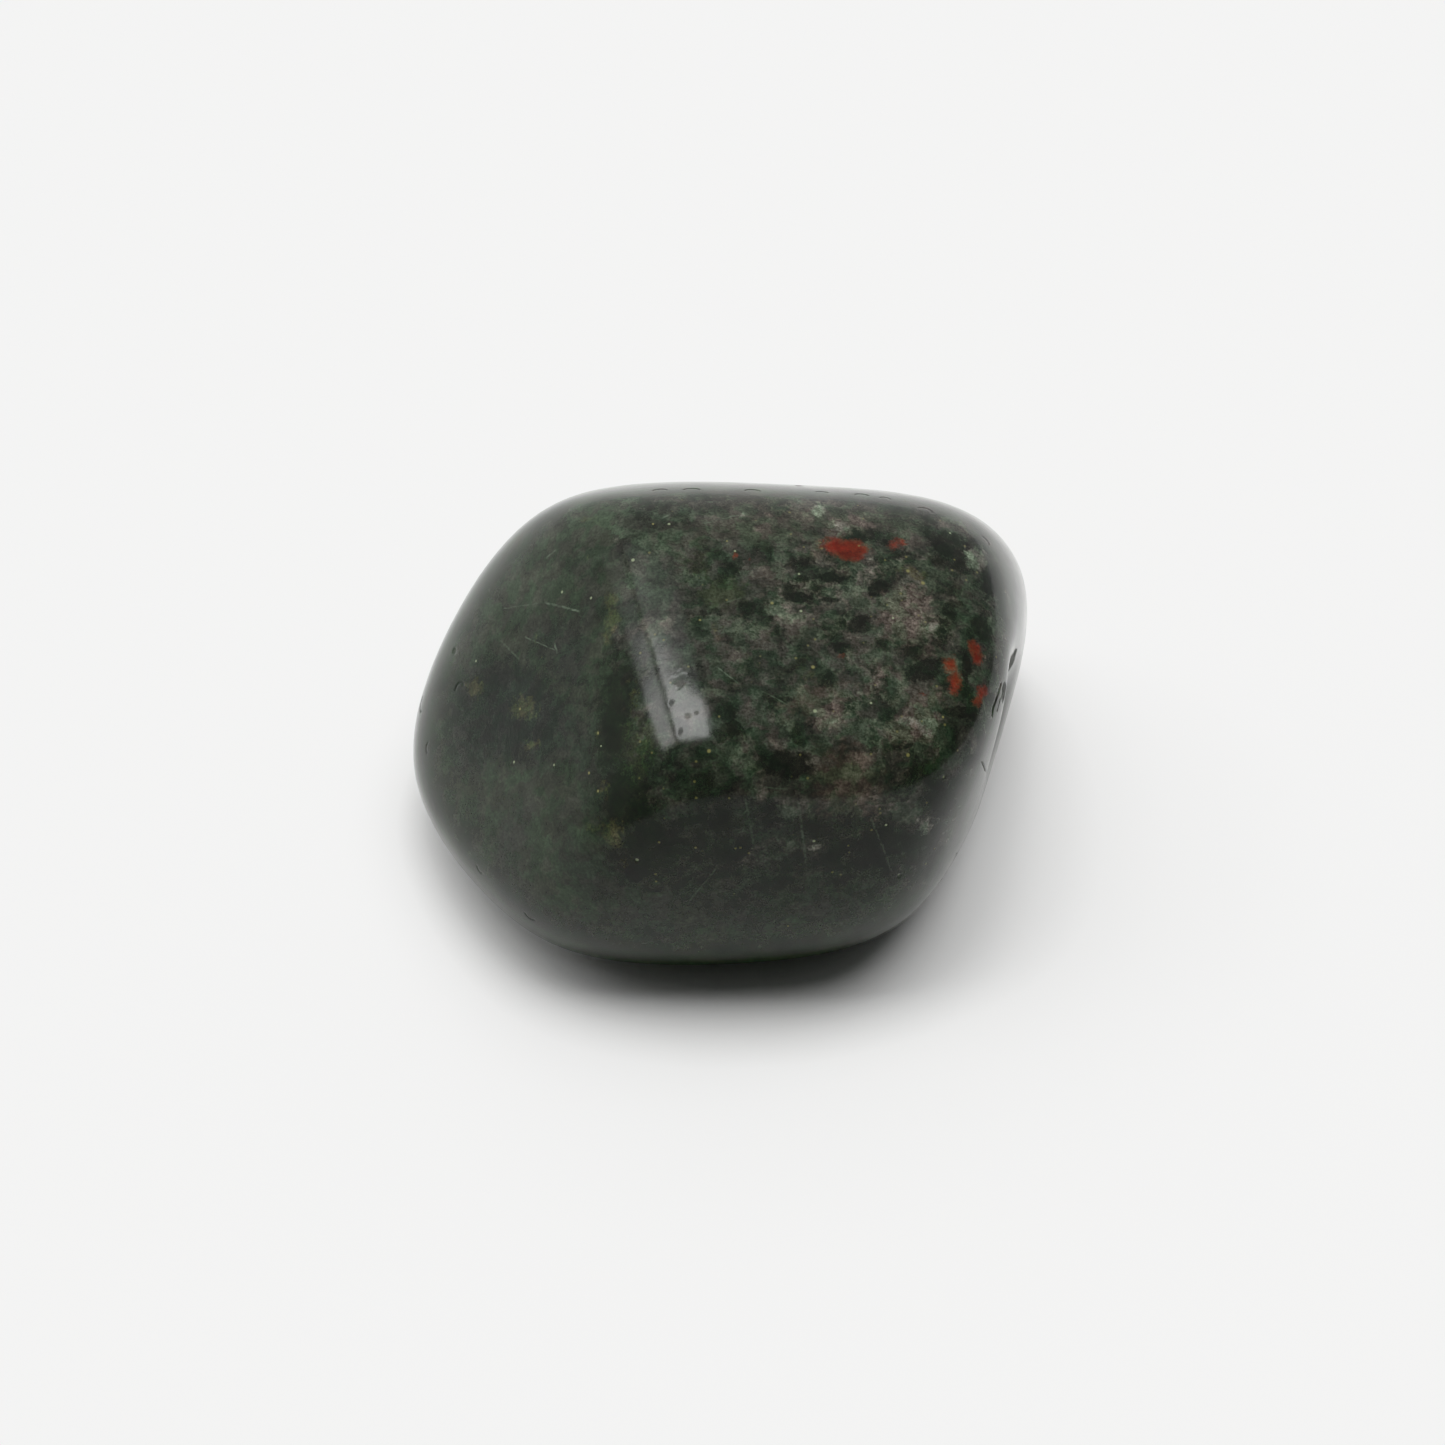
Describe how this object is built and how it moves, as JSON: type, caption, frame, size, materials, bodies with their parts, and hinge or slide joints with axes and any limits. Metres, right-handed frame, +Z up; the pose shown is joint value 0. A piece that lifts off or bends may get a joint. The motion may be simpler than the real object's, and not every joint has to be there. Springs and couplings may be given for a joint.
{
  "type": "tumbled bloodstone",
  "caption": "Polished tumbled pebble of dark green bloodstone with red spots, worn rounded facets, a chip in one end and a flat to lie on.",
  "frame": {"origin": "on the ground under the middle of the stone's box, as it lies", "axes": "+X along the stone's longest side, towards the end with the chip; +Y away from the steep front; +Z up, out of the face it lies on"},
  "size_m": [0.0308, 0.024, 0.0186],
  "materials": {
    "bloodstone": "polished, slightly worn, translucent at thin edges"
  },
  "bodies": {
    "root": {"bloodstone": "bloodstone"}
  },
  "joints": []
}
